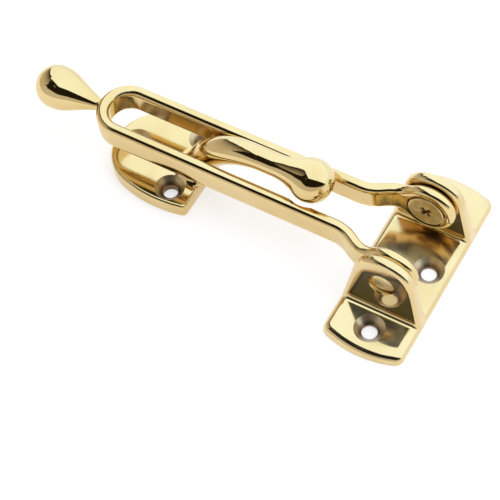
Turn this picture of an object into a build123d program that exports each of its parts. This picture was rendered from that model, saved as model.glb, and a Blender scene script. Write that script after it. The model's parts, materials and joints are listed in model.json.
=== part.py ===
from build123d import *
import os
from math import acos, atan, atan2, cos, hypot, radians, sin, sqrt, tan

# Swing-bar door guard in cast and polished brass, in millimetres.
# +X runs along the bar towards its hinge, +Y along the hinge axis, +Z away from
# the door. The origin is the centre of the bracket's mounting face, and both
# plates have their backs at Z = 0. The knob is at the -X end.

# Bracket plate
plate_length = 65.0
plate_width = 25.0
plate_thickness = 3.0
plate_end_radius = 32.0
plate_corner_radius = 3.0
plate_rounding = 2.7
end_hole_inset = 7.9
middle_hole_inset = 6.2

# Countersunk screw holes, all alike
hole_radius = 2.3
countersink_radius = 4.5
countersink_angle = 90.0

# Ears of the bracket, which carry the pivot. Their span and thickness are those at the top.
pivot_height = 15.5
ear_span = 34.0
ear_thickness = 3.3
ear_draft = 3.2
ear_head_radius = 9.4
ear_foot_inset = 0.1
ear_edge_radius = 1.4
ear_base_fillet = 1.5
ear_hole_chamfer = 0.45

# Swing bar
bar_width = 3.8
bar_height = 8.8
bar_edge_radius = 1.8
slot_width = 11.1
loop_centre_x = -92.7
bend_start_x = -20.0
bend_end_x = -6.5
eye_radius = 8.3
eye_thickness = 3.7
eye_blend_radius = 8.0
eye_side_clearance = 0.2
eye_pocket_radius = 6.2
eye_pocket_depth = 1.6

# Knob, turned about the middle line of the bar
knob_length = 22.45
knob_radius = 6.75
knob_flank_radius = 14.0
knob_flank_angle = 25.4
knob_neck_radius = 1.9
knob_neck_length = 1.15

# Pivot screws
shoulder_radius = 4.4
shoulder_clearance = 0.05
head_radius = 5.5
head_thickness = 1.7
head_clearance = 0.1
head_edge_radius = 0.35
thread_radius = 3.9
thread_clearance = 0.03
thread_recess = 0.3
thread_chamfer = 0.4
recess_length = 5.6
recess_width = 1.2
recess_depth = 1.1
recess_taper = 12.0
recess_turn = 45.0

# Keeper plate
keeper_thickness = 4.4
keeper_edge_x = -66.2
keeper_length = 31.8
keeper_width = 31.2
keeper_widest_from_edge = 9.8
keeper_side_radius = 40.0
keeper_corner_radius = 1.5
keeper_rounding = 0.9
keeper_pair_spacing = 20.0
keeper_pair_inset = 7.5
keeper_tip_hole_inset = 6.8

# Keeper arm and ball
ball_radius = 6.65
ball_clearance = 0.2
ball_from_hinge = 30.9
ball_neck_radius = 16.0
arm_above_bar = 3.4
arm_radius = 3.46
arm_root_radius = 5.0
arm_bend_radius = 21.9
arm_root_inset = 3.608
arm_lean = 22.0
arm_root_fillet = 3.8
arm_bend_sections = 8

# Scoops in the bar's upper inner edges, above which the ball stands
scoop_depth = 2.25
scoop_length = 15.0
scoop_lead = 1.1
scoop_rim_angle = 25.0

# Places worked out from the sizes above
end_hole_spacing = plate_length - 2 * end_hole_inset
middle_hole_x = plate_width / 2 - middle_hole_inset
ear_outer_y = ear_span / 2
ear_inner_y = ear_outer_y - ear_thickness
ear_top = pivot_height + ear_head_radius
ear_mouth_y = ear_outer_y + ear_head_radius * tan(radians(ear_draft))
ear_base_y = ear_outer_y + (ear_top - plate_thickness) * tan(radians(ear_draft))
eye_outer_y = ear_inner_y - eye_side_clearance
eye_inner_y = eye_outer_y - eye_thickness
pocket_floor_y = eye_inner_y + eye_pocket_depth
head_seat_y = pocket_floor_y - head_clearance
eye_bore_radius = shoulder_radius + shoulder_clearance
ear_hole_radius = thread_radius + thread_clearance
slot_half = slot_width / 2
bar_half = slot_half + bar_width
bar_top = pivot_height + bar_height / 2
bar_end_x = loop_centre_x - bar_half
knob_tip_x = bar_end_x - knob_length
keeper_tip_x = keeper_edge_x - keeper_length
keeper_widest_x = keeper_edge_x - keeper_widest_from_edge
arm_height = bar_top + arm_above_bar
scoop_reach = slot_half + scoop_depth
scoop_from_hinge = ball_from_hinge - scoop_lead

# Length by which a cutting or joining solid runs past the face it crosses
past = 1.0

pivot = Vector(0, 0, pivot_height)
hinge_plane = Plane(origin=pivot, x_dir=(1, 0, 0), z_dir=(0, -1, 0))
bar_level = Plane.XY.offset(pivot_height)


def both_sides(edges):
    """The edges of one side of an outline, with their mirror images across Y = 0."""
    return edges + [mirror(edge, about=Plane.XZ) for edge in edges]


def screw_hole(x, y, top):
    """Cutting solid of one countersunk hole whose rim lies at height top."""
    slope = tan(radians(countersink_angle / 2))
    cone_depth = (countersink_radius - hole_radius) / slope
    cone = Cone(hole_radius, countersink_radius + past * slope, cone_depth + past)
    shank = Cylinder(hole_radius, top + 2 * past)
    return Pos(x, y, top - cone_depth + (cone_depth + past) / 2) * cone + Pos(x, y, top / 2) * shank


def plate_outline():
    """Bracket plate in plan: straight sides and slightly bowed ends."""
    side = plate_width / 2
    end = plate_length / 2
    corner = end - plate_end_radius + sqrt(plate_end_radius**2 - side**2)
    bowed_end = ThreePointArc((side, corner), (0, end), (-side, corner))
    long_sides = [Line((side, -corner), (side, corner)), Line((-side, -corner), (-side, corner))]
    return make_face(both_sides([bowed_end]) + long_sides)


def ear_outline():
    """Ear seen along the hinge axis, with the pivot at its origin."""
    foot = Vector(plate_width / 2 - ear_foot_inset, plate_thickness / 2 - pivot_height)
    turn = acos(ear_head_radius / foot.length) + atan2(foot.Y, foot.X)
    shoulder = Vector(ear_head_radius * cos(turn), ear_head_radius * sin(turn))
    flank = Line(shoulder, foot)
    head = ThreePointArc((-shoulder.X, shoulder.Y), (0, ear_head_radius), shoulder)
    return make_face([head, flank, mirror(flank, about=Plane.YZ), Line(foot, (-foot.X, foot.Y))])


def is_ear_base(edge):
    """True for a straight edge where a face of an ear meets the top of the plate."""
    if edge.geom_type != GeomType.LINE or abs(edge.tangent_at(0).X) < 0.5:
        return False
    box = edge.bounding_box()
    low = plate_thickness - plate_rounding / 2
    near_ear = ear_inner_y - ear_edge_radius < abs(edge.center().Y) < ear_base_y + ear_edge_radius
    return low < box.min.Z and box.max.Z < plate_thickness + ear_edge_radius / 2 and near_ear


def make_ear():
    """Far ear, whose outer face leans so that it is thicker towards the plate."""
    ear = extrude(hinge_plane.offset(-ear_inner_y) * ear_outline(), amount=-2 * ear_thickness)
    lean = radians(ear_draft)
    outer_face = Plane(origin=(0, ear_outer_y, ear_top), x_dir=(1, 0, 0), z_dir=(0, cos(lean), sin(lean)))
    ear = split(ear, bisect_by=outer_face, keep=Keep.BOTTOM)
    rims = [edge for edge in ear.edges() if abs(edge.tangent_at(0).Y) < 0.5]
    return fillet([edge for edge in rims if edge.center().Z > plate_thickness], ear_edge_radius)


def make_bracket():
    """Plate and both ears in one casting."""
    plate = extrude(plate_outline(), amount=plate_thickness)
    plate = fillet(plate.edges().filter_by(Axis.Z), plate_corner_radius)
    plate = fillet(plate.faces().sort_by(Axis.Z)[-1].edges(), plate_rounding)
    ear = make_ear()
    casting = plate + ear + mirror(ear, about=Plane.XZ)
    casting = fillet([edge for edge in casting.edges() if is_ear_base(edge)], ear_base_fillet)
    for x, y in ((0, -end_hole_spacing / 2), (0, end_hole_spacing / 2), (middle_hole_x, 0)):
        casting -= screw_hole(x, y, plate_thickness)
    pivot_hole = Cylinder(ear_hole_radius, 2 * (ear_base_y + past))
    mouth = Pos(0, 0, ear_mouth_y + ear_hole_chamfer / 2) * Cone(
        ear_hole_radius - ear_hole_chamfer, ear_hole_radius + 2 * ear_hole_chamfer, 3 * ear_hole_chamfer
    )
    return casting - hinge_plane * (pivot_hole + mouth + mirror(mouth, about=Plane.XY))


def wall_outline(half, eye_y, widen):
    """Plan outline of one wall of the bar: loop end, straight run, bend and eye.

    half is the wall's distance from the middle line, eye_y its distance at the
    eyes, and widen moves radius from the first arc of the bend to the second, so
    that the two walls of an arm run side by side.
    """
    shift = eye_y - half
    run = bend_end_x - bend_start_x
    turn = 2 * atan(shift / run)
    both_radii = run / sin(turn)
    first = both_radii / 2 - widen
    start = Vector(bend_start_x, half)
    middle = start + Vector(first * sin(turn), first * (1 - cos(turn)))
    end = Vector(bend_end_x, eye_y)
    reach = eye_radius + past
    side = [
        Line((loop_centre_x, half), start),
        TangentArc(start, middle, tangent=(1, 0)),
        TangentArc(middle, end, tangent=(cos(turn), sin(turn))),
        Line(end, (reach, eye_y)),
    ]
    loop = ThreePointArc((loop_centre_x, half), (loop_centre_x - half, 0), (loop_centre_x, -half))
    return make_face(both_sides(side) + [loop, Line((reach, eye_y), (reach, -eye_y))])


def side_outline():
    """Bar seen along the hinge axis, with the pivot at its origin."""
    left = bar_end_x - past
    side = Pos(left / 2, 0) * Rectangle(-left, bar_height) + Circle(eye_radius)
    corners = [v for v in side.vertices() if -eye_radius < v.X < 0]
    return fillet(corners, eye_blend_radius)


def make_knob():
    """Knob and neck, turned about the middle line of the bar."""
    turn = radians(knob_flank_angle)
    widest = Vector(knob_tip_x + knob_radius, knob_radius)
    flank_end = widest + Vector(
        knob_flank_radius * sin(turn), knob_flank_radius * (cos(turn) - 1)
    )
    neck = Vector(bar_end_x - knob_neck_length, knob_neck_radius)
    root = Vector(bar_end_x + bar_width / 2, knob_neck_radius)
    nose_point = Vector(
        knob_tip_x + knob_radius * (1 - cos(radians(45))), knob_radius * sin(radians(45))
    )
    profile = make_face(
        [
            ThreePointArc((knob_tip_x, 0), nose_point, widest),
            TangentArc(widest, flank_end, tangent=(1, 0)),
            TangentArc(flank_end, neck, tangent=(cos(turn), -sin(turn))),
            Line(neck, root),
            Line(root, (root.X, 0)),
            Line((root.X, 0), (knob_tip_x, 0)),
        ]
    )
    return bar_level * revolve(profile, axis=Axis.X)


def make_scoop():
    """Cutting solid of the scoop in one arm, a part of a sphere whose rim lies on the arm's top."""
    depth = scoop_reach - slot_half
    rim_radius = ((scoop_length / 2) ** 2 + depth**2) / (2 * depth)
    lean = radians(scoop_rim_angle)
    centre = Pos(-scoop_from_hinge, scoop_reach - rim_radius, bar_top + rim_radius / tan(lean))
    own_side = Pos(-scoop_from_hinge, scoop_reach, bar_top) * Box(
        2 * scoop_length, 2 * scoop_reach, 2 * bar_height
    )
    return centre * Sphere(rim_radius / sin(lean)) & own_side


def make_swing_bar():
    """Looped bar with its eyes, bends and knob in one casting."""
    plan = wall_outline(bar_half, eye_outer_y, bar_width / 2)
    plan -= wall_outline(slot_half, eye_inner_y, -bar_width / 2)
    tall = extrude(bar_level.offset(-eye_radius - past) * plan, amount=2 * (eye_radius + past))
    wide = extrude(hinge_plane.offset(-ear_span) * side_outline(), amount=2 * ear_span)
    bar = tall & wide
    long_edges = [
        edge
        for edge in bar.edges()
        if edge.geom_type != GeomType.LINE or abs(edge.tangent_at(0).X) > 0.5
    ]
    bar = fillet(long_edges, bar_edge_radius)
    bar += make_knob()
    pocket_span = pocket_floor_y - eye_inner_y + past
    pocket = Pos(0, 0, pocket_floor_y - pocket_span / 2) * Cylinder(eye_pocket_radius, pocket_span)
    bore = Cylinder(eye_bore_radius, ear_span)
    bar -= hinge_plane * (bore + pocket + mirror(pocket, about=Plane.XY))
    ball_path = Torus(
        hypot(ball_from_hinge, arm_height - pivot_height), ball_radius + ball_clearance
    )
    scoop = make_scoop()
    return bar - hinge_plane * ball_path - scoop - mirror(scoop, about=Plane.XZ)


def make_pivot_screw():
    """Shouldered screw of the far ear, turned about the hinge axis."""
    head_face_y = head_seat_y - head_thickness
    end_y = ear_mouth_y - thread_recess
    corner = head_edge_radius * (1 - cos(radians(45)))
    profile = make_face(
        [
            Line((0, head_face_y), (head_radius - head_edge_radius, head_face_y)),
            ThreePointArc(
                (head_radius - head_edge_radius, head_face_y),
                (head_radius - corner, head_face_y + corner),
                (head_radius, head_face_y + head_edge_radius),
            ),
            Polyline(
                (head_radius, head_face_y + head_edge_radius),
                (head_radius, head_seat_y),
                (shoulder_radius, head_seat_y),
                (shoulder_radius, ear_inner_y),
                (thread_radius, ear_inner_y),
                (thread_radius, end_y - thread_chamfer),
                (thread_radius - thread_chamfer, end_y),
                (0, end_y),
                (0, head_face_y),
            ),
        ]
    )
    screw = bar_level * revolve(profile, axis=Axis.Y)
    cross = Rectangle(recess_length, recess_width) + Rectangle(recess_width, recess_length)
    driver = extrude(cross, amount=recess_depth, taper=recess_taper)
    face_plane = Plane(origin=pivot + Vector(0, head_face_y, 0), x_dir=(1, 0, 0), z_dir=(0, 1, 0))
    return screw - face_plane.rotated((0, 0, recess_turn)) * driver


def keeper_outline():
    """Keeper plate in plan: a straight edge, bowed sides and a round end."""
    side_offset = keeper_side_radius - keeper_width / 2
    taper = keeper_length - keeper_widest_from_edge
    end_radius = (keeper_side_radius**2 - side_offset**2 - taper**2) / (
        2 * (keeper_side_radius - taper)
    )
    side_centre = Vector(keeper_widest_x, side_offset)
    end_centre = Vector(keeper_tip_x + end_radius, 0)
    meeting = end_centre + (end_centre - side_centre).normalized() * end_radius
    corner_y = side_offset - sqrt(keeper_side_radius**2 - keeper_widest_from_edge**2)
    side = ThreePointArc(
        (keeper_edge_x, corner_y), (keeper_widest_x, -keeper_width / 2), meeting
    )
    end = ThreePointArc(meeting, (keeper_tip_x, 0), (meeting.X, -meeting.Y))
    edge = Line((keeper_edge_x, corner_y), (keeper_edge_x, -corner_y))
    return make_face(both_sides([side]) + [end, edge])


def arm_plane(x, z, rise):
    """Plane across the keeper arm at one point, where it climbs at rise degrees."""
    climb = radians(rise)
    return Plane(origin=(x, 0, z), x_dir=(0, 1, 0), z_dir=(cos(climb), 0, sin(climb)))


def make_keeper():
    """Keeper plate, bent arm and ball in one casting."""
    plate = extrude(keeper_outline(), amount=keeper_thickness)
    corners = plate.edges().filter_by(Axis.Z).sort_by(Axis.X)[-2:]
    plate = fillet(corners, keeper_corner_radius)
    plate = fillet(plate.faces().sort_by(Axis.Z)[-1].edges(), keeper_rounding)

    steepest = 90 - arm_lean
    bend_centre_z = arm_height - arm_bend_radius
    root_top_z = bend_centre_z + arm_bend_radius * cos(radians(steepest))
    plate_top_x = keeper_edge_x - arm_root_inset
    root_top_x = plate_top_x + (root_top_z - keeper_thickness) * tan(radians(arm_lean))
    straight_start_x = root_top_x + arm_bend_radius * sin(radians(steepest))
    foot_z = keeper_thickness / 4
    foot_x = root_top_x - (root_top_z - foot_z) * tan(radians(arm_lean))
    growth = (arm_root_radius - arm_radius) / (straight_start_x - foot_x)
    root_top_radius = arm_radius + growth * (straight_start_x - root_top_x)
    root_length = (root_top_z - foot_z) / cos(radians(arm_lean))
    root = arm_plane(foot_x, foot_z, steepest) * Pos(0, 0, root_length / 2) * Cone(
        arm_root_radius, root_top_radius, root_length
    )
    casting = plate + split(root, bisect_by=Plane.XY, keep=Keep.TOP)
    base = [
        edge
        for edge in casting.edges()
        if edge.geom_type == GeomType.ELLIPSE and abs(edge.center().Z - keeper_thickness) < 0.01
    ]
    casting = fillet(base, arm_root_fillet)

    sections = []
    for step in range(arm_bend_sections + 1):
        rise = steepest * step / arm_bend_sections
        x = straight_start_x - arm_bend_radius * sin(radians(rise))
        z = bend_centre_z + arm_bend_radius * cos(radians(rise))
        radius = arm_radius + growth * (straight_start_x - x)
        sections.append(arm_plane(x, z, rise) * Circle(radius))
    casting += loft(sections)

    ball_x = -ball_from_hinge
    neck_run = sqrt((ball_radius + ball_neck_radius) ** 2 - (arm_radius + ball_neck_radius) ** 2)
    neck_start = Vector(ball_x - neck_run, arm_radius)
    share = ball_radius / (ball_radius + ball_neck_radius)
    neck_end = Vector(ball_x - neck_run * share, (arm_radius + ball_neck_radius) * share)
    profile = make_face(
        [
            Line((straight_start_x, 0), (straight_start_x, arm_radius)),
            Line((straight_start_x, arm_radius), neck_start),
            TangentArc(neck_start, neck_end, tangent=(1, 0)),
            ThreePointArc(neck_end, (ball_x, ball_radius), (ball_x + ball_radius, 0)),
            Line((ball_x + ball_radius, 0), (straight_start_x, 0)),
        ]
    )
    casting += Plane.XY.offset(arm_height) * revolve(profile, axis=Axis.X)

    pair_x = keeper_edge_x - keeper_pair_inset
    for y in (-keeper_pair_spacing / 2, keeper_pair_spacing / 2):
        casting -= screw_hole(pair_x, y, keeper_thickness)
    return casting - screw_hole(keeper_tip_x + keeper_tip_hole_inset, 0, keeper_thickness)


far_screw = make_pivot_screw()
parts = {
    "bracket": make_bracket(),
    "swing_bar": make_swing_bar(),
    "pivot_screw_near": mirror(far_screw, about=Plane.XZ),
    "pivot_screw_far": far_screw,
    "keeper": make_keeper(),
}

os.makedirs("parts", exist_ok=True)
for name, part in parts.items():
    export_step(part, f"parts/{name}.step")
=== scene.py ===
"""Swing-bar door guard in polished brass: finishes, pivot screws, studio and camera.

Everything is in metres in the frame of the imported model. +X runs along the bar
towards its hinge, +Y along the hinge axis and +Z away from the door.
"""

import json
import logging
import math
from dataclasses import dataclass, replace
from enum import Enum
from typing import Union

import bmesh
import bpy
from mathutils import Matrix, Vector

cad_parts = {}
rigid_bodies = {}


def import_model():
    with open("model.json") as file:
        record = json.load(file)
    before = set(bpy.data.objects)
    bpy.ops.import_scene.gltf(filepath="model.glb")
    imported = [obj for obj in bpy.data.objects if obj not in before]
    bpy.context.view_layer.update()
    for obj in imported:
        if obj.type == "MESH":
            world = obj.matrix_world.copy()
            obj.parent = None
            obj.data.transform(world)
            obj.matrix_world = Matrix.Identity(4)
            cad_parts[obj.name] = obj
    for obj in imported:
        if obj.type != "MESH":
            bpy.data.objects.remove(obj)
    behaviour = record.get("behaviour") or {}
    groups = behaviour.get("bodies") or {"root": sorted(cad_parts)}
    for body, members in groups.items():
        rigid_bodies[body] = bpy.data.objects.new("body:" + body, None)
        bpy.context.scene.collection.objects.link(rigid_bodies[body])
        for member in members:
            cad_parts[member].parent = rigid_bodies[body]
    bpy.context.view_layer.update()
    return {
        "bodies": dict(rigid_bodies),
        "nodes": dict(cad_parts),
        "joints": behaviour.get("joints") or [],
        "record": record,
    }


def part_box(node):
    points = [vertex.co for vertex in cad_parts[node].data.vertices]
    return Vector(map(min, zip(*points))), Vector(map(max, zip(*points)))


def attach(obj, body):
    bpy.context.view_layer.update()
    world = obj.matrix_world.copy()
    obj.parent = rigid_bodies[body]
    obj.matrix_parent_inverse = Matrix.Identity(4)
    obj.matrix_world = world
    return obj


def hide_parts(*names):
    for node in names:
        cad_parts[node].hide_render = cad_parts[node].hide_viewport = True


LOG = logging.getLogger("door_guard")
MM = 0.001
MERGE_DISTANCE = 0.001 * MM

# The Mix node's colour sockets share their names with its other sockets.
MIX_FIRST, MIX_SECOND, MIX_RESULT = 6, 7, 2

Pair = tuple[float, float]
Triple = tuple[float, float, float]
Colour = Triple
Operand = Union["Signal", float]
Settings = dict[str, object]
Inputs = dict[int | str, object]


def even(value: float) -> Triple:
    """The same value along all three axes."""
    return (value, value, value)


def opaque(colour: Colour) -> tuple[float, float, float, float]:
    """A colour with full alpha."""
    return (*colour, 1.0)


class Signal:
    """A shader output that Python operators turn into Math nodes."""

    def __init__(self, graph: "Graph", socket: bpy.types.NodeSocket) -> None:
        """Wraps one output socket of the graph."""
        self.graph = graph
        self.socket = socket

    def _math(self, operation: str, first: Operand, second: Operand = 0.0) -> "Signal":
        """Adds one Math node and returns its output."""
        settings = {"operation": operation}
        return self.graph.signal(0, "ShaderNodeMath", settings, {0: first, 1: second})

    def __add__(self, other: Operand) -> "Signal":
        """This signal plus another or a number."""
        return self._math("ADD", self, other)

    __radd__ = __add__

    def __sub__(self, other: Operand) -> "Signal":
        """This signal less another or a number."""
        return self._math("SUBTRACT", self, other)

    def __rsub__(self, other: Operand) -> "Signal":
        """A number less this signal."""
        return self._math("SUBTRACT", other, self)

    def __mul__(self, other: Operand) -> "Signal":
        """This signal times another or a number."""
        return self._math("MULTIPLY", self, other)

    __rmul__ = __mul__

    def __truediv__(self, other: Operand) -> "Signal":
        """This signal over another or a number."""
        return self._math("DIVIDE", self, other)

    def size(self) -> "Signal":
        """This signal without its sign."""
        return self._math("ABSOLUTE", self)

    def above(self, low: float, high: float) -> "Signal":
        """A smooth step of this signal.

        Args:
            low: the value at and below which the step is 0.
            high: the value at and above which the step is 1.

        Returns:
            The step, between 0 and 1.
        """
        return self.graph.signal(
            "Result",
            "ShaderNodeMapRange",
            {"interpolation_type": "SMOOTHSTEP", "clamp": True},
            {"Value": self, "From Min": low, "From Max": high},
        )


class Graph:
    """The node tree of one material."""

    def __init__(self, name: str) -> None:
        """Makes an empty material with its output node."""
        self.material = bpy.data.materials.new(name)
        self.material.use_nodes = True
        self.tree = self.material.node_tree
        self.tree.nodes.clear()
        self.output = self.node("ShaderNodeOutputMaterial")

    def node(
        self, kind: str, settings: Settings | None = None, inputs: Inputs | None = None
    ) -> bpy.types.Node:
        """Adds one node.

        Args:
            kind: the node's Blender type.
            settings: its properties, which are set first.
            inputs: values, signals or sockets for its input sockets, by name or place.

        Returns:
            The new node.
        """
        made = self.tree.nodes.new(kind)
        for name, value in (settings or {}).items():
            setattr(made, name, value)
        for key, value in (inputs or {}).items():
            if isinstance(value, Signal):
                value = value.socket
            if isinstance(value, bpy.types.NodeSocket):
                self.tree.links.new(value, made.inputs[key])
            else:
                made.inputs[key].default_value = value
        return made

    def signal(
        self,
        output: int | str,
        kind: str,
        settings: Settings | None = None,
        inputs: Inputs | None = None,
    ) -> Signal:
        """Adds one node and wraps one of its outputs.

        Args:
            output: the output's name or place.
            kind: the node's Blender type.
            settings: its properties, which are set first.
            inputs: values, signals or sockets for its input sockets, by name or place.

        Returns:
            The output as a signal.
        """
        return Signal(self, self.node(kind, settings, inputs).outputs[output])

    def vector(self, operation: str, *values: object, output: int | str = 0) -> Signal:
        """Adds one Vector Math node.

        Args:
            operation: what the node does.
            values: triples or vector signals for its inputs, in order.
            output: the output's name or place.

        Returns:
            The output as a signal.
        """
        settings = {"operation": operation}
        return self.signal(output, "ShaderNodeVectorMath", settings, dict(enumerate(values)))

    def place(self, scale: Triple = even(1.0), centre: Triple = even(0.0)) -> Signal:
        """Object coordinates, moved to a centre and then scaled.

        Args:
            scale: cycles for each metre along each axis.
            centre: the point of the frame that becomes the origin.

        Returns:
            The coordinates as a vector signal.
        """
        source = self.signal("Object", "ShaderNodeTexCoord")
        return self.vector("MULTIPLY", self.vector("SUBTRACT", source, centre), scale)

    def length(self, place: Signal) -> Signal:
        """Distance of a place from its origin."""
        return self.vector("LENGTH", place, output="Value")

    def parts(self, vector: Signal) -> tuple[Signal, Signal, Signal]:
        """The three parts of a vector signal."""
        made = self.node("ShaderNodeSeparateXYZ", None, {0: vector})
        return tuple(Signal(self, made.outputs[axis]) for axis in "XYZ")

    def joined(self, x: Operand, y: Operand = 0.0, z: Operand = 0.0) -> Signal:
        """A vector signal of three parts."""
        return self.signal(0, "ShaderNodeCombineXYZ", None, {"X": x, "Y": y, "Z": z})

    def noise(self, place: Signal, detail: float, roughness: float = 0.5) -> Signal:
        """A noise pattern over a place.

        Args:
            place: the coordinates, in cycles.
            detail: how many finer layers it has.
            roughness: how much the finer layers count.

        Returns:
            The pattern, about 0.5.
        """
        return self.signal(
            "Fac",
            "ShaderNodeTexNoise",
            {"noise_dimensions": "3D"},
            {"Vector": place, "Scale": 1.0, "Detail": detail, "Roughness": roughness},
        )

    def mix(self, factor: Signal, first: object, second: object) -> Signal:
        """A colour between two others.

        Args:
            factor: 0 for the first colour and 1 for the second.
            first: a colour or a colour signal.
            second: a colour or a colour signal.

        Returns:
            The mixed colour.
        """
        return self.signal(
            MIX_RESULT,
            "ShaderNodeMix",
            {"data_type": "RGBA", "clamp_factor": True},
            {"Factor": factor, MIX_FIRST: first, MIX_SECOND: second},
        )

    def bump(self, height: Signal, distance: float, under: Signal | None = None) -> Signal:
        """Tilts the surface by a height pattern.

        Args:
            height: the pattern.
            distance: metres of height where the pattern is 1.
            under: a surface already tilted, or None for the mesh's own.

        Returns:
            The tilted normal.
        """
        inputs = {"Strength": 1.0, "Distance": distance, "Height": height}
        if under is not None:
            inputs["Normal"] = under
        return self.signal(0, "ShaderNodeBump", None, inputs)

    def finish(self, kind: str, inputs: Inputs) -> bpy.types.Material:
        """Adds the last shader and links it to the output.

        Args:
            kind: the shader's Blender type.
            inputs: values or signals for its input sockets.

        Returns:
            The finished material.
        """
        shader = self.node(kind, None, inputs)
        self.tree.links.new(shader.outputs[0], self.output.inputs["Surface"])
        return self.material


@dataclass(frozen=True)
class Pattern:
    """A cloudy pattern with its lengths along the three axes, which may be stepped."""

    lengths: Triple
    detail: float
    roughness: float
    bounds: Pair | None = None

    def signal(self, graph: Graph) -> Signal:
        """Builds the pattern.

        Args:
            graph: the finish it is for.

        Returns:
            The noise about 0.5, or where bounds are given its step between them.
        """
        scale = tuple(1 / length for length in self.lengths)
        noise = graph.noise(graph.place(scale), self.detail, self.roughness)
        return noise.above(*self.bounds) if self.bounds else noise


@dataclass(frozen=True)
class Buffing:
    """Where the buffing wheel has flattened the neck and the left of the keeper's ball.

    It fades in between two places along X, and between two upward parts of the
    normal.
    """

    along: Pair = (-48.0 * MM, -44.0 * MM)
    facing: Pair = (0.30, 0.62)
    least_lean: float = -0.14
    softness: float = 0.12

    def normal(self, graph: Graph) -> Signal:
        """Builds the flattened normal.

        Args:
            graph: the finish it is for.

        Returns:
            The mesh's normal, with its lean towards -X held back on the upper side.
        """
        lean, across, up = graph.parts(graph.signal("Normal", "ShaderNodeNewGeometry"))
        held = graph.signal(
            0,
            "ShaderNodeMath",
            {"operation": "SMOOTH_MAX"},
            {0: lean, 1: self.least_lean, 2: self.softness},
        )
        along, _, _ = graph.parts(graph.place())
        region = along.above(*self.along) * up.above(*self.facing)
        upright = graph.joined((held - lean) * region + lean, across, up)
        return graph.vector("NORMALIZE", upright)


class Bound(Enum):
    """Which measure of a place bounds a dull region."""

    ACROSS = 1
    HEIGHT = 2


@dataclass(frozen=True)
class DullRegion:
    """Where the buffing wheel doesn't reach, so that the casting stays duller.

    The region is full up to the first of its limits and ends at the second.
    """

    bound: Bound
    limits: Pair
    added: float
    start_x: float = -1.0
    start_edge: float = 1.0 * MM

    def roughness(self, graph: Graph) -> Signal:
        """Builds the roughness that the region adds.

        Args:
            graph: the finish it is for.

        Returns:
            The added roughness, which fades between the region's two limits and
            is nothing to the left of its start.
        """
        places = graph.parts(graph.place())
        region = 1.0 - places[self.bound.value].size().above(*self.limits)
        started = places[0].above(self.start_x, self.start_x + self.start_edge)
        return region * started * self.added


@dataclass(frozen=True)
class Countersinks:
    """Countersinks of the wood screws, left as cut and so rougher, with shade painted on their
    cones that darkens towards their feet.
    """

    centres: tuple[Pair, ...]
    rim_radii: Pair = (4.5 * MM, 4.6 * MM)
    foot_shade_radii: Pair = (2.6 * MM, 3.7 * MM)
    # Painted shade: the cone colour and its darker foot colour stand for the shade inside the
    # holes, not for a colour of the brass.
    colour: Colour = (0.60, 0.45, 0.25)
    painted_foot_shade: Colour = (0.20, 0.12, 0.055)
    added: float = 0.24

    def cut(self, graph: Graph, colour: Signal, roughness: Signal) -> tuple[Signal, Signal]:
        """Cuts the holes' finish, with its painted shade, into that of their casting.

        Args:
            graph: the finish it is for.
            colour: the casting's colour.
            roughness: the casting's roughness.

        Returns:
            The colour with the holes' painted shade, and the roughness with the holes.
        """
        for x, y in self.centres:
            apart = graph.length(graph.place((1.0, 1.0, 0.0), (x, y, 0.0)))
            inside = 1.0 - apart.above(*self.rim_radii)
            roughness = roughness + inside * self.added
            # Painted shade on the cone, deepening towards the hole's foot.
            out = apart.above(*self.foot_shade_radii)
            painted_cone_shade = graph.mix(out, opaque(self.painted_foot_shade), opaque(self.colour))
            colour = graph.mix(inside, colour, painted_cone_shade)
        return colour, roughness


@dataclass(frozen=True)
class PolishedBrass:
    """Cast brass, buffed to a mirror by hand."""

    name: str
    holes: Countersinks | None = None
    dull: DullRegion | None = None
    buffing: Buffing | None = None
    colour: Colour = (0.735, 0.56, 0.275)
    deep_colour: Colour = (0.69, 0.505, 0.225)
    tint: Pattern = Pattern(even(14.0 * MM), 2.0, 0.5, (0.35, 0.7))
    roughness: float = 0.035
    haze_roughness: float = 0.045
    haze: Pattern = Pattern(even(4.1176 * MM), 4.0, 0.6, (0.4, 0.8))
    waves: Pattern = Pattern(even(7.0 * MM), 1.0, 0.4)
    wave_height: float = 0.010 * MM
    grain: Pattern = Pattern(even(0.9 * MM), 2.0, 0.6)
    grain_height: float = 0.0006 * MM
    lacquer: float = 0.0
    lacquer_roughness: float = 0.35

    def material(self) -> bpy.types.Material:
        """Builds the finish.

        Returns:
            A metal with slow waves from the buffing wheel, a haze that comes and
            goes, and a colour that deepens a little in places.
        """
        graph = Graph(self.name)
        under = self.buffing.normal(graph) if self.buffing else None
        waved = graph.bump(self.waves.signal(graph), self.wave_height, under)
        tint = self.tint.signal(graph)
        colour = graph.mix(tint, opaque(self.colour), opaque(self.deep_colour))
        roughness = self.haze.signal(graph) * self.haze_roughness + self.roughness
        if self.dull:
            roughness = roughness + self.dull.roughness(graph)
        if self.holes:
            colour, roughness = self.holes.cut(graph, colour, roughness)
        inputs = {
            "Base Color": colour,
            "Metallic": 1.0,
            "Roughness": roughness,
            "Coat Weight": self.lacquer,
            "Coat Roughness": self.lacquer_roughness,
            "Normal": graph.bump(self.grain.signal(graph), self.grain_height, waved),
        }
        return graph.finish("ShaderNodeBsdfPrincipled", inputs)


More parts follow.
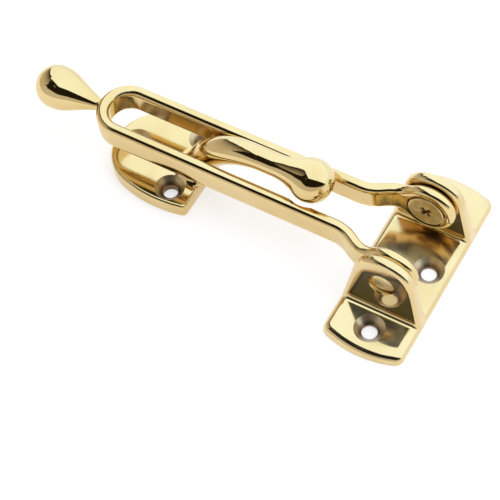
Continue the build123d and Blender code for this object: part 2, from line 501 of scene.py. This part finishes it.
@dataclass(frozen=True)
class TurnedBrass:
    """Brass as it leaves the lathe, with rings round the hinge axis and stray scratches."""

    colour: Colour = (0.74, 0.56, 0.27)
    worn_colour: Colour = (0.80, 0.66, 0.38)
    wear: Pattern = Pattern(even(3.0 * MM), 3.0, 0.5, (0.4, 0.65))
    # Painted shade: the cross recess is darkened in colour to stand for the shade inside it.
    painted_recess_shade: Colour = (0.36, 0.22, 0.10)
    recess_radii: Pair = (3.0 * MM, 3.15 * MM)
    recess_starts: Pair = (0.15 * MM, 0.30 * MM)
    recess_ends: Pair = (1.50 * MM, 1.65 * MM)
    roughness: float = 0.36
    scratch_roughness: float = 0.10
    ring_pitch: float = 0.22 * MM
    ring_detail: float = 1.0
    ring_height: float = 0.0012 * MM
    scratches: Pattern = Pattern((3.0 * MM, 3.0 * MM, 0.12 * MM), 1.0, 0.5, (0.62, 0.72))
    crossing: Pattern = Pattern((0.12 * MM, 3.0 * MM, 3.0 * MM), 1.0, 0.5, (0.66, 0.74))
    scratch_height: float = 0.004 * MM

    def recess_shade_mask(self, graph: Graph, radius: Signal, head_y: float) -> Signal:
        """Finds the cross recess of both screws, where shade is painted.

        Args:
            graph: the finish it is for.
            radius: distance from the hinge axis.
            head_y: distance of the heads' faces from the guard's middle, in metres.

        Returns:
            A signal that is 1 in the recess and 0 elsewhere.
        """
        _, across, _ = graph.parts(graph.place())
        behind = across.size() - head_y
        depth = behind.above(*self.recess_starts) * (1.0 - behind.above(*self.recess_ends))
        return depth * (1.0 - radius.above(*self.recess_radii))

    def material(self, axis_height: float, head_y: float) -> bpy.types.Material:
        """Builds the finish.

        Args:
            axis_height: height of the hinge axis above the door, in metres.
            head_y: distance of the heads' faces from the guard's middle, in metres.

        Returns:
            A metal with fine rings about the axis, crossed by scratches, and old
            lacquer that has darkened in the cross recess.
        """
        graph = Graph("turned_brass_finish")
        radius = graph.length(graph.place((1.0, 0.0, 1.0), (0.0, 0.0, axis_height)))
        rings = graph.noise(graph.joined(radius / self.ring_pitch), self.ring_detail)
        marks = self.scratches.signal(graph) + self.crossing.signal(graph)
        ringed = graph.bump(rings, self.ring_height)
        wear = self.wear.signal(graph)
        brass = graph.mix(wear, opaque(self.colour), opaque(self.worn_colour))
        # The cross recess takes the painted shade colour.
        recess = self.recess_shade_mask(graph, radius, head_y)
        inputs = {
            "Base Color": graph.mix(recess, brass, opaque(self.painted_recess_shade)),
            "Metallic": 1.0,
            "Roughness": marks * self.scratch_roughness + self.roughness,
            "Normal": graph.bump(marks, -self.scratch_height, ringed),
        }
        return graph.finish("ShaderNodeBsdfPrincipled", inputs)


def new_piece(
    name: str, mesh: bmesh.types.BMesh, material: bpy.types.Material
) -> bpy.types.Object:
    """Makes an object at the origin from a finished bmesh.

    Args:
        name: the piece's name.
        mesh: its mesh, which is freed.
        material: its finish.

    Returns:
        The linked object.
    """
    data = bpy.data.meshes.new(name)
    mesh.to_mesh(data)
    mesh.free()
    data.materials.append(material)
    piece = bpy.data.objects.new(name, data)
    bpy.context.scene.collection.objects.link(piece)
    return piece


def new_vertices(made: dict[str, list]) -> list[bmesh.types.BMVert]:
    """The vertices among what an extrusion made."""
    return [item for item in made["geom"] if isinstance(item, bmesh.types.BMVert)]


@dataclass
class PivotScrew:
    """One shouldered screw with a cross recess and a cut thread, turned about the hinge axis.

    It is made along +Z with its head's face at Z = 0, and then laid on its axis.
    """

    node: str
    name: str
    material_slot: str = "screw_brass"
    head_thickness: float = 1.7 * MM
    rim_radius: float = 0.35 * MM
    rim_steps: int = 4
    shoulder_radius: float = 4.4 * MM
    shoulder_end: float = 4.1 * MM
    thread_radius: float = 3.9 * MM
    thread_depth: float = 0.35 * MM
    thread_pitch: float = 0.8 * MM
    thread_steps: int = 48
    ridge_share: float = 0.42
    crest_share: float = 0.2
    ridge_sunk: float = 0.05 * MM
    tip_chamfer: float = 0.4 * MM
    tip_dome: float = 0.5 * MM
    dome_steps: int = 5
    recess_length: float = 5.2 * MM
    recess_width: float = 1.7 * MM
    recess_depth: float = 1.3 * MM
    recess_floor_share: float = 0.62
    recess_turn: float = 45.0
    edge_width: float = 0.06 * MM
    edge_segments: int = 2
    edge_angle: float = 40.0
    smooth_angle: float = 30.0
    segments: int = 96

    @property
    def core_radius(self) -> float:
        """Radius at the thread's root."""
        return self.thread_radius - self.thread_depth

    def thread_end(self, length: float) -> float:
        """Where the thread ends on a screw of some length."""
        return length - self.tip_dome - self.tip_chamfer / 2

    def outline(self, head_radius: float, length: float) -> list[Pair]:
        """Half outline of the screw, without its recess and thread.

        Args:
            head_radius: radius of its head.
            length: its whole length.

        Returns:
            Pairs of distance behind the head's face and radius.
        """
        rim, steps = self.rim_radius, self.rim_steps
        turns = [math.radians(90 * step / steps) for step in range(steps + 1)]
        rounding = [
            (rim * (1 - math.cos(turn)), head_radius - rim * (1 - math.sin(turn)))
            for turn in turns
        ]
        tip_radius = self.core_radius - self.tip_chamfer / 2
        shares = [step / self.dome_steps for step in range(self.dome_steps, -1, -1)]
        dome = [(length - self.tip_dome * share**2, tip_radius * share) for share in shares]
        return [
            (0.0, 0.0),
            *rounding,
            (self.head_thickness, head_radius),
            (self.head_thickness, self.shoulder_radius),
            (self.shoulder_end, self.shoulder_radius),
            (self.shoulder_end, self.core_radius),
            (self.thread_end(length), self.core_radius),
            *dome,
        ]

    def turned(self, head_radius: float, length: float) -> bmesh.types.BMesh:
        """Spins the half outline about the Z axis.

        Args:
            head_radius: radius of the head.
            length: the screw's whole length.

        Returns:
            The closed blank.
        """
        mesh = bmesh.new()
        points = [mesh.verts.new((r, 0, z)) for z, r in self.outline(head_radius, length)]
        edges = [mesh.edges.new(pair) for pair in zip(points, points[1:])]
        bmesh.ops.spin(
            mesh,
            geom=points + edges,
            cent=(0, 0, 0),
            axis=(0, 0, 1),
            angle=math.tau,
            steps=self.segments,
            use_merge=True,
        )
        bmesh.ops.remove_doubles(mesh, verts=mesh.verts, dist=MERGE_DISTANCE)
        bmesh.ops.recalc_face_normals(mesh, faces=mesh.faces)
        return mesh

    def thread(self, length: float) -> bmesh.types.BMesh:
        """Winds one ridge of the thread, sunk a little into the core.

        Args:
            length: the screw's whole length.

        Returns:
            The closed ridge.
        """
        mesh = bmesh.new()
        half = self.thread_pitch * self.ridge_share
        crest = half * self.crest_share
        foot = self.core_radius - self.ridge_sunk
        start = self.shoulder_end + half
        turns = (self.thread_end(length) - half - start) / self.thread_pitch
        corners = [
            (foot, start - half),
            (self.thread_radius, start - crest),
            (self.thread_radius, start + crest),
            (foot, start + half),
        ]
        profile = mesh.faces.new([mesh.verts.new((r, 0, z)) for r, z in corners])
        steps = round(turns * self.thread_steps)
        bmesh.ops.spin(
            mesh,
            geom=[profile, *profile.edges, *profile.verts],
            cent=(0, 0, 0),
            axis=(0, 0, 1),
            dvec=(0, 0, turns * self.thread_pitch / steps),
            angle=math.tau * turns,
            steps=steps,
            use_merge=False,
        )
        bmesh.ops.recalc_face_normals(mesh, faces=mesh.faces)
        return mesh

    def recess(self) -> bmesh.types.BMesh:
        """Makes the cutter of the cross.

        Returns:
            A closed cross that reaches out of the head and narrows towards its floor.
        """
        mesh = bmesh.new()
        reach, half = self.recess_length / 2, self.recess_width / 2
        arm = [(reach, -half), (reach, half), (half, half)]
        outline = []
        for quarter in range(4):
            turn = Matrix.Rotation(math.radians(90 * quarter + self.recess_turn), 2)
            outline += [turn @ Vector(corner) for corner in arm]
        mouth = mesh.faces.new([mesh.verts.new((x, y, -self.recess_depth)) for x, y in outline])
        floor = new_vertices(bmesh.ops.extrude_face_region(mesh, geom=[mouth]))
        bmesh.ops.translate(mesh, vec=(0, 0, 2 * self.recess_depth), verts=floor)
        share = self.recess_floor_share
        bmesh.ops.scale(mesh, vec=(share, share, 1), verts=floor)
        bmesh.ops.recalc_face_normals(mesh, faces=mesh.faces)
        return mesh

    def cut(self, screw: bpy.types.Object, material: bpy.types.Material) -> bmesh.types.BMesh:
        """Cuts the recess and breaks the edges.

        Args:
            screw: the turned blank, whose modifiers are gone afterwards.
            material: its finish.

        Returns:
            The cut shape.
        """
        cutter = new_piece(self.name + "_cutter", self.recess(), material)
        cross = screw.modifiers.new("recess", "BOOLEAN")
        cross.operation = "DIFFERENCE"
        cross.solver = "EXACT"
        cross.object = cutter
        edge = screw.modifiers.new("edges", "BEVEL")
        edge.width = self.edge_width
        edge.segments = self.edge_segments
        edge.limit_method = "ANGLE"
        edge.angle_limit = math.radians(self.edge_angle)
        bpy.context.view_layer.update()
        shaped = bmesh.new()
        shaped.from_object(screw, bpy.context.evaluated_depsgraph_get())
        screw.modifiers.clear()
        bpy.data.objects.remove(cutter)
        return shaped

    def add_thread(self, shaped: bmesh.types.BMesh, length: float) -> None:
        """Adds the thread's ridge to the cut shape.

        Args:
            shaped: the cut shape.
            length: the screw's whole length.
        """
        ridge = self.thread(length)
        data = bpy.data.meshes.new(self.name + "_thread")
        ridge.to_mesh(data)
        ridge.free()
        shaped.from_mesh(data)
        bpy.data.meshes.remove(data)

    def build(self, material: bpy.types.Material) -> bpy.types.Object:
        """Makes the screw where its node lies.

        Args:
            material: its finish.

        Returns:
            The finished piece, which stands for its node.
        """
        low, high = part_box(self.node)
        length = high[1] - low[1]
        screw = new_piece(self.name, self.turned((high[0] - low[0]) / 2, length), material)
        shaped = self.cut(screw, material)
        self.add_thread(shaped, length)
        far_side = low[1] + high[1] > 0
        head_y, angle = (low[1], -90) if far_side else (high[1], 90)
        onto_axis = Matrix.Rotation(math.radians(angle), 4, "X")
        place = Matrix.Translation((0, head_y, (low[2] + high[2]) / 2)) @ onto_axis
        bmesh.ops.transform(shaped, matrix=place, verts=shaped.verts)
        for face in shaped.faces:
            face.smooth = True
        shaped.to_mesh(screw.data)
        shaped.free()
        screw.data.set_sharp_from_angle(angle=math.radians(self.smooth_angle))
        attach(screw, "bracket")
        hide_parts(self.node)
        return screw


@dataclass
class Castings:
    """The three castings as packed, each dressed in its own polished brass."""

    between_ears: DullRegion = DullRegion(Bound.ACROSS, (10.8 * MM, 13.5 * MM), 0.11)
    in_slot: DullRegion = DullRegion(Bound.ACROSS, (5.7 * MM, 6.1 * MM), 0.16, -100.0 * MM)
    keeper_plate: DullRegion = DullRegion(Bound.HEIGHT, (4.8 * MM, 6.0 * MM), 0.06)
    # The countersinks of these holes carry painted shade.
    bracket_holes: Countersinks = Countersinks(
        ((0.0, -24.6 * MM), (0.0, 24.6 * MM), (6.3 * MM, 0.0))
    )
    keeper_holes: Countersinks = Countersinks(
        ((-73.7 * MM, -10.0 * MM), (-73.7 * MM, 10.0 * MM), (-91.2 * MM, 0.0))
    )
    bracket_roughness: float = 0.05
    bracket_haze: float = 0.09
    bracket_lacquer: float = 0.8

    def dress(self, frame: dict) -> None:
        """Gives each casting its finish.

        Args:
            frame: the loaded frame.
        """
        finishes = {
            "bracket": PolishedBrass(
                "polished_bracket",
                self.bracket_holes,
                self.between_ears,
                roughness=self.bracket_roughness,
                haze_roughness=self.bracket_haze,
                lacquer=self.bracket_lacquer,
            ),
            "swing_bar": PolishedBrass("polished_bar", dull=self.in_slot),
            "keeper": PolishedBrass(
                "polished_keeper", self.keeper_holes, self.keeper_plate, Buffing()
            ),
        }
        for name, finish in finishes.items():
            material = finish.material()
            for slot in frame["nodes"][name].material_slots:
                slot.material = material
            LOG.info("dressed %s", name)


@dataclass(frozen=True)
class Sheet:
    """A flat card or a hanging cloth of the studio, over a line of places on the floor."""

    name: str
    line: tuple[Pair, ...]
    height: float

    def flat(self, material: bpy.types.Material) -> bpy.types.Object:
        """Makes a card whose outline is the line, at the height.

        Args:
            material: its glow.

        Returns:
            The card as an object.
        """
        mesh = bmesh.new()
        mesh.faces.new([mesh.verts.new((x, y, self.height)) for x, y in self.line])
        return new_piece(self.name, mesh, material)

    def hanging(self, material: bpy.types.Material) -> bpy.types.Object:
        """Makes a cloth that hangs along the line, from the height to the table.

        Args:
            material: its glow.

        Returns:
            The cloth as an object.
        """
        mesh = bmesh.new()
        upper = [mesh.verts.new((x, y, self.height)) for x, y in self.line]
        edges = [mesh.edges.new(pair) for pair in zip(upper, upper[1:])]
        hem = new_vertices(bmesh.ops.extrude_edge_only(mesh, edges=edges))
        bmesh.ops.translate(mesh, vec=(0, 0, -self.height), verts=hem)
        return new_piece(self.name, mesh, material)


@dataclass(frozen=True)
class ClothShade:
    """Glow of a cloth, which changes between two shares of the cloth's height.

    A cloth may have a band of another shade across it, also between two shares.
    """

    upper: Colour
    lower: Colour
    shares: Pair
    band: Colour | None = None
    band_shares: Pair = (0.52, 0.67)
    band_edge: float = 0.02

    def material(self, name: str, height: float) -> bpy.types.Material:
        """Builds the glow.

        Args:
            name: the material's name.
            height: height of the cloth's upper edge.

        Returns:
            A light that changes from the lower colour to the upper one.
        """
        graph = Graph(name)
        _, _, rise = graph.parts(graph.place())
        share = rise / height
        shade = graph.mix(share.above(*self.shares), opaque(self.lower), opaque(self.upper))
        if self.band:
            foot, head = self.band_shares
            inside = share.above(foot - self.band_edge, foot)
            inside = inside * (1.0 - share.above(head, head + self.band_edge))
            shade = graph.mix(inside, shade, opaque(self.band))
        return graph.finish("ShaderNodeEmission", {"Color": shade, "Strength": 1.0})


@dataclass
class Studio:
    """Pale table and white surroundings, with a wide soft ceiling and dark cloths before it."""

    floor_size: float = 30.0
    floor_colour: Colour = (0.66, 0.60, 0.54)
    floor_glow: float = 0.60
    world_colour: Colour = (1.0, 1.0, 1.0)
    ceiling_height: float = 2.0
    ceiling_level: float = 1.65
    ceiling_colour: Colour = (0.80, 0.94, 1.10)
    corner: Pair = (-0.04, -1.08)
    left_run: Pair = (-0.718, 0.696)
    right_run: Pair = (0.985, 0.173)
    reach: float = 12.0
    black_reach: float = 0.85
    olive_reach: Pair = (0.28, 0.50)
    black: ClothShade = ClothShade((0.020, 0.016, 0.010), (0.72, 0.72, 0.72), (0.20, 0.24))
    olive: ClothShade = replace(black, band=(0.107, 0.13, 0.066))
    brown: ClothShade = ClothShade((0.050, 0.046, 0.034), (0.75, 0.70, 0.64), (0.0, 0.85))
    back_board_from: float = 0.07
    back_board_height: float = 0.5 * MM
    back_level: float = 1.45

    def along(self, run: Pair, distance: float) -> Pair:
        """The point at a distance from the ceiling's corner along one of its edges."""
        return (self.corner[0] + run[0] * distance, self.corner[1] + run[1] * distance)

    def glow(self, name: str, level: float) -> bpy.types.Material:
        """A plain light of the ceiling's colour."""
        inputs = {"Color": opaque(self.ceiling_colour), "Strength": level}
        return Graph(name).finish("ShaderNodeEmission", inputs)

    def hang(self, piece: bpy.types.Object) -> None:
        """Stages one card or cloth that the camera looks through."""
        piece.visible_camera = False
        piece.visible_shadow = False

    def world(self) -> None:
        """Makes the surroundings plain white."""
        world = bpy.data.worlds.new("white_surroundings")
        bpy.context.scene.world = world
        world.use_nodes = True
        background = world.node_tree.nodes["Background"]
        background.inputs["Color"].default_value = opaque(self.world_colour)
        background.inputs["Strength"].default_value = 1.0

    def floor(self) -> None:
        """Lays the pale table under the guard."""
        mesh = bmesh.new()
        bmesh.ops.create_grid(mesh, x_segments=1, y_segments=1, size=self.floor_size / 2)
        inputs = {
            "Base Color": opaque(self.floor_colour),
            "Roughness": 1.0,
            "Specular IOR Level": 0.0,
            "Emission Color": opaque(self.world_colour),
            "Emission Strength": self.floor_glow,
        }
        material = Graph("pale_table").finish("ShaderNodeBsdfPrincipled", inputs)
        new_piece("table", mesh, material)

    def lights(self) -> None:
        """Hangs the soft ceiling, its wall behind and to the right, and the board behind."""
        reach, height = self.reach, self.ceiling_height
        left = self.along(self.left_run, reach)
        right = self.along(self.right_run, reach)
        back = ((reach, reach), (-reach, reach))
        ceiling = Sheet("ceiling", (*reversed(back), right, self.corner, left), height)
        self.hang(ceiling.flat(self.glow("soft_ceiling", self.ceiling_level)))
        glow = self.glow("soft_wall", self.back_level)
        self.hang(Sheet("back_wall", (right, *back), height).hanging(glow))
        front = ((-reach, self.back_board_from), (reach, self.back_board_from))
        board = Sheet("back_board", (*front, *back), self.back_board_height)
        self.hang(board.flat(glow))

    def cloths(self) -> None:
        """Hangs the dark cloths from the ceiling's two front edges."""
        right = self.along(self.right_run, self.reach)
        olive_start, olive_end, turn, end = (
            self.along(self.left_run, reach)
            for reach in (*self.olive_reach, self.black_reach, self.reach)
        )
        for name, shade, line in (
            ("front_cloth", self.black, (right, self.corner, olive_start)),
            ("olive_cloth", self.olive, (olive_start, olive_end)),
            ("corner_cloth", self.black, (olive_end, turn)),
            ("left_cloth", self.brown, (turn, end)),
        ):
            cloth = Sheet(name, line, self.ceiling_height)
            self.hang(cloth.hanging(shade.material(name, self.ceiling_height)))

    def build(self) -> None:
        """Sets up the whole studio."""
        self.world()
        self.floor()
        self.lights()
        self.cloths()


@dataclass(frozen=True)
class Viewpoint:
    """The photograph's camera, which looks along +Y at azimuth 0.

    The angles are in degrees, and the picture's width and the focal length in pixels.
    """

    azimuth: float = 35.081
    elevation: float = 57.501
    roll: float = -6.595
    target: Vector = Vector((-44.05, -15.012, -1.726)) * MM
    distance: float = 482.975 * MM
    nearest: float = 10.0 * MM
    picture_width: float = 500.0
    focal_length: float = 1656.713
    sensor: float = 36.0

    def build(self) -> None:
        """Places the camera."""
        azimuth, elevation, roll = (
            math.radians(angle) for angle in (self.azimuth, self.elevation, self.roll)
        )
        forward = Vector(
            (
                -math.sin(azimuth) * math.cos(elevation),
                math.cos(azimuth) * math.cos(elevation),
                -math.sin(elevation),
            )
        )
        level = forward.cross(Vector((0, 0, 1))).normalized()
        upright = level.cross(forward)
        right = math.cos(roll) * level + math.sin(roll) * upright
        up = math.cos(roll) * upright - math.sin(roll) * level
        data = bpy.data.cameras.new("photo_camera")
        data.sensor_width = self.sensor
        data.lens = self.sensor * self.focal_length / self.picture_width
        data.clip_start = self.nearest
        camera = bpy.data.objects.new("photo_camera", data)
        turn = Matrix((right, up, -forward)).transposed().to_4x4()
        camera.matrix_world = Matrix.Translation(self.target - forward * self.distance) @ turn
        bpy.context.scene.collection.objects.link(camera)
        bpy.context.scene.camera = camera


def main() -> None:
    """Builds the guard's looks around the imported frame."""
    logging.basicConfig(level=logging.INFO, format="%(name)s: %(message)s")
    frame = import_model()
    bpy.context.scene.view_settings.view_transform = "Standard"

    Viewpoint().build()
    Studio().build()

    Castings().dress(frame)
    axis_height = frame["joints"][0]["pos_m"][2]
    head_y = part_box("pivot_screw_far")[0][1]
    turned = TurnedBrass().material(axis_height, head_y)
    for node in ("pivot_screw_near", "pivot_screw_far"):
        screw = PivotScrew(node, node + "_turned").build(turned)
        LOG.info("built %s, %d faces", screw.name, len(screw.data.polygons))


if __name__ == "__main__":
    main()
